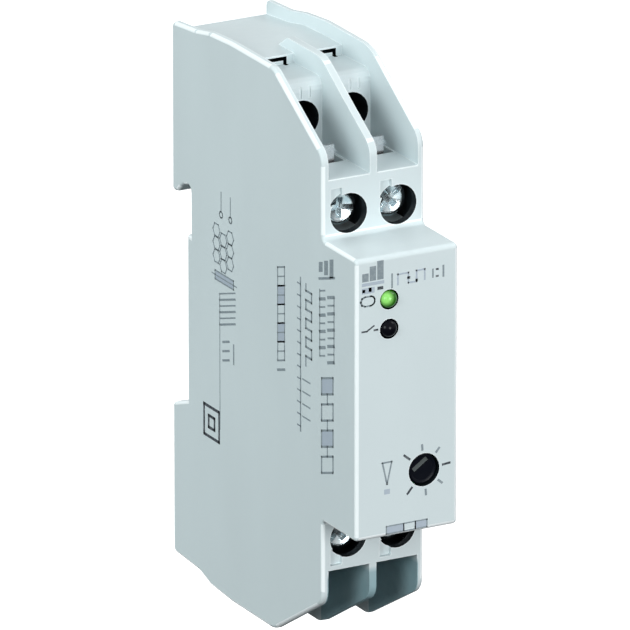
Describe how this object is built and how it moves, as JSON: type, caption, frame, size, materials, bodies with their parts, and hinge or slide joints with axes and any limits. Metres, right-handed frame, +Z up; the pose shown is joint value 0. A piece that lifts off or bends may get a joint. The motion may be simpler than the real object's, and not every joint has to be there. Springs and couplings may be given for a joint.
{
  "type": "din rail timer",
  "caption": "Narrow timer module that clips on a DIN rail: screw terminals at both ends, and a raised front with lamps and a slotted time adjuster.",
  "frame": {"origin": "on the face that rests on the rail's flanges, at the middle of the rail's height and of the case's width", "axes": "+X to the right seen from the front, the front faces -Y and the rail lies on the +Y side, +Z up along the case"},
  "size_m": [0.0176, 0.0598, 0.0919],
  "materials": {
    "housing_plastic": "satin moulded, light grey",
    "latch_plastic": "satin moulded, dark grey",
    "galvanised_steel": "bright galvanised",
    "tinned_copper": "tin plated",
    "spring_steel": "drawn wire",
    "board_laminate": "solder mask over glass laminate",
    "black_plastic": "satin moulded, black",
    "relay_shell": "moulded, blue",
    "bobbin_plastic": "moulded, natural",
    "copper_winding": "enamelled copper wire",
    "soft_iron": "plated soft iron",
    "brass_contact": "bare spring brass",
    "green_lens": "clear tinted lens, lit",
    "dark_lens": "tinted lens, unlit",
    "capacitor_sleeve": "shrunk sleeve",
    "film_case": "moulded box",
    "varistor_coat": "dipped coating",
    "resistor_coat": "dipped coating"
  },
  "bodies": {
    "housing": {"housing_shell": "housing_plastic", "side_cover": "housing_plastic", "latch_spring": "spring_steel", "power_led": "green_lens", "relay_led": "dark_lens", "potentiometer": "board_laminate", "circuit_board": "board_laminate", "relay_base": "black_plastic", "relay_cover": "relay_shell", "relay_bobbin": "bobbin_plastic", "relay_winding": "copper_winding", "relay_core": "soft_iron", "relay_yoke": "soft_iron", "fixed_contact": "brass_contact", "smoothing_capacitor": "capacitor_sleeve", "dropper_capacitor": "film_case", "varistor": "varistor_coat", "dropper_resistor": "resistor_coat", "bridge_rectifier": "black_plastic", "timer_chip": "black_plastic", "relay_driver": "black_plastic", "contact_top_left": "tinned_copper", "contact_top_right": "tinned_copper", "contact_bottom_left": "tinned_copper", "contact_bottom_right": "tinned_copper"},
    "latch": {"rail_latch": "latch_plastic"},
    "adjuster": {"adjuster_rotor": "black_plastic"},
    "armature": {"relay_armature": "soft_iron", "contact_blade": "brass_contact"},
    "screw_top_left": {"screw_top_left": "galvanised_steel"},
    "cage_top_left": {"cage_top_left": "galvanised_steel"},
    "screw_top_right": {"screw_top_right": "galvanised_steel"},
    "cage_top_right": {"cage_top_right": "galvanised_steel"},
    "screw_bottom_left": {"screw_bottom_left": "galvanised_steel"},
    "cage_bottom_left": {"cage_bottom_left": "galvanised_steel"},
    "screw_bottom_right": {"screw_bottom_right": "galvanised_steel"},
    "cage_bottom_right": {"cage_bottom_right": "galvanised_steel"}
  },
  "joints": [
    {"name": "latch_slide", "type": "slide", "parent": "housing", "child": "latch", "axis": [0, 0, -1], "range_m": [0, 0.003], "stiffness_N_per_m": 600, "springref_m": -0.002, "deforming": ["latch_spring"]},
    {"name": "adjuster_turn", "type": "hinge", "parent": "housing", "child": "adjuster", "pos_m": [0.00297, -0.05372, -0.01377], "axis": [0, 1, 0], "range_deg": [-185, 75]},
    {"name": "armature_pivot", "type": "hinge", "parent": "housing", "child": "armature", "pos_m": [0.00555, -0.00917, 0.00575], "axis": [0, -1, 0], "range_deg": [0, 3.2], "stiffness_Nm_per_rad": 0.002, "springref_deg": -9.74},
    {"name": "screw_turn_top_left", "type": "hinge", "parent": "housing", "child": "screw_top_left", "pos_m": [-0.00425, -0.04087, 0.0252], "axis": [0, 1, 0], "range_deg": [0, 2400]},
    {"name": "clamp_slide_top_left", "type": "slide", "parent": "housing", "child": "cage_top_left", "axis": [0, -1, 0], "range_m": [0, 0.004]},
    {"name": "screw_turn_top_right", "type": "hinge", "parent": "housing", "child": "screw_top_right", "pos_m": [0.00425, -0.04087, 0.0252], "axis": [0, 1, 0], "range_deg": [0, 2400]},
    {"name": "clamp_slide_top_right", "type": "slide", "parent": "housing", "child": "cage_top_right", "axis": [0, -1, 0], "range_m": [0, 0.004]},
    {"name": "screw_turn_bottom_left", "type": "hinge", "parent": "housing", "child": "screw_bottom_left", "pos_m": [-0.00425, -0.04087, -0.0268], "axis": [0, 1, 0], "range_deg": [0, 2400]},
    {"name": "clamp_slide_bottom_left", "type": "slide", "parent": "housing", "child": "cage_bottom_left", "axis": [0, -1, 0], "range_m": [0, 0.004]},
    {"name": "screw_turn_bottom_right", "type": "hinge", "parent": "housing", "child": "screw_bottom_right", "pos_m": [0.00425, -0.04087, -0.0268], "axis": [0, 1, 0], "range_deg": [0, 2400]},
    {"name": "clamp_slide_bottom_right", "type": "slide", "parent": "housing", "child": "cage_bottom_right", "axis": [0, -1, 0], "range_m": [0, 0.004]}
  ],
  "couplings": [
    {"joint": "screw_turn_top_left", "follows": "clamp_slide_top_left", "rad_per_m": 10472},
    {"joint": "screw_turn_top_right", "follows": "clamp_slide_top_right", "rad_per_m": 10472},
    {"joint": "screw_turn_bottom_left", "follows": "clamp_slide_bottom_left", "rad_per_m": 10472},
    {"joint": "screw_turn_bottom_right", "follows": "clamp_slide_bottom_right", "rad_per_m": 10472}
  ]
}
